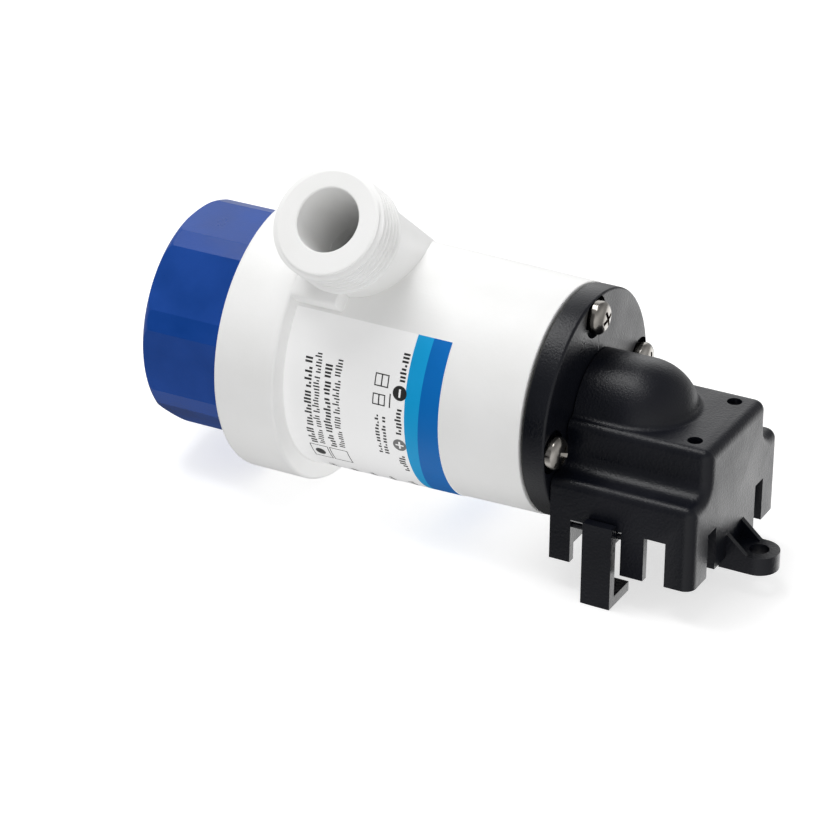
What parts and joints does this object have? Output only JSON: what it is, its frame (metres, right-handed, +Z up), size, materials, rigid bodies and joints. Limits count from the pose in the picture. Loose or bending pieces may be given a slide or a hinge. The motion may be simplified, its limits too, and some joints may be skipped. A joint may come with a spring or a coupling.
{
  "type": "bilge pump",
  "caption": "Horizontal submersible bilge pump: motor cartridge in a round housing, screw-on end cap, threaded outlet and a slotted base with two latches.",
  "frame": {"origin": "centre of the mounting ear's screw hole, on the ear's underside", "axes": "+X along the pump axis from the end cap to the mounting ear, +Z up along the ear's screw hole, +Y towards the side away from the outlet"},
  "size_m": [0.201, 0.0841, 0.1121],
  "materials": {
    "white_plastic": "fine satin moulded surface",
    "label_film": "printed satin film",
    "black_plastic": "satin moulded surface",
    "blue_plastic": "satin moulded surface",
    "dark_plastic": "satin",
    "ivory_plastic": "satin",
    "nylon": "satin",
    "phenolic": "dull",
    "rubber": "dull",
    "stainless": "polished stainless steel",
    "plated_steel": "zinc plated",
    "zinc_casting": "as cast",
    "core_steel": "stacked laminations",
    "ferrite": "ground",
    "bronze": "sintered",
    "carbon": "pressed carbon",
    "brass": "stamped",
    "copper_wire": "enamelled wire",
    "copper": "turned"
  },
  "bodies": {
    "pump_body": {"pump_housing": "white_plastic", "label": "label_film", "inlet_flange": "black_plastic", "flange_gasket": "rubber", "flange_screws": "stainless", "inlet_o_ring": "rubber", "strainer_base": "black_plastic", "canister_lid": "white_plastic", "lid_o_ring": "rubber", "canister_o_ring": "rubber", "gland_seal": "rubber", "gland_nut": "black_plastic", "motor_canister": "dark_plastic", "shaft_seal": "rubber", "seal_retainer": "stainless", "motor_can": "plated_steel", "motor_front_cover": "zinc_casting", "motor_rear_cover": "zinc_casting", "magnets": "ferrite", "front_bushing": "bronze", "rear_bushing": "bronze", "brush_plate": "phenolic", "brushes": "carbon", "brush_springs": "plated_steel", "terminals": "brass"},
    "rotor": {"motor_shaft": "stainless", "armature_core": "core_steel", "windings": "copper_wire", "commutator": "copper", "thrust_washers": "nylon", "impeller": "ivory_plastic", "impeller_clip": "stainless"},
    "cap_carrier": {"slip_washer": "nylon"},
    "end_cap": {"end_cap": "blue_plastic"},
    "latch_front": {"latch_front": "black_plastic"},
    "latch_rear": {"latch_rear": "black_plastic"}
  },
  "joints": [
    {"name": "rotor_spin", "type": "hinge", "parent": "pump_body", "child": "rotor", "pos_m": [-0.1119, 0, 0.0387], "axis": [1, 0, 0], "continuous": true},
    {"name": "cap_slide", "type": "slide", "parent": "pump_body", "child": "cap_carrier", "axis": [-1, 0, 0], "range_m": [0, 0.02]},
    {"name": "cap_turn", "type": "hinge", "parent": "cap_carrier", "child": "end_cap", "pos_m": [-0.1719, 0, 0.0387], "axis": [-1, 0, 0], "range_deg": [0, 1801]},
    {"name": "latch_front_flex", "type": "hinge", "parent": "pump_body", "child": "latch_front", "pos_m": [-0.0353, -0.0285, 0.0151], "axis": [-1, 0, 0], "range_deg": [0, 5], "stiffness_Nm_per_rad": 0.6},
    {"name": "latch_rear_flex", "type": "hinge", "parent": "pump_body", "child": "latch_rear", "pos_m": [-0.0353, 0.0285, 0.0151], "axis": [1, 0, 0], "range_deg": [0, 5], "stiffness_Nm_per_rad": 0.6}
  ],
  "couplings": [
    {"joint": "cap_turn", "follows": "cap_slide", "rad_per_m": 1570.8}
  ]
}
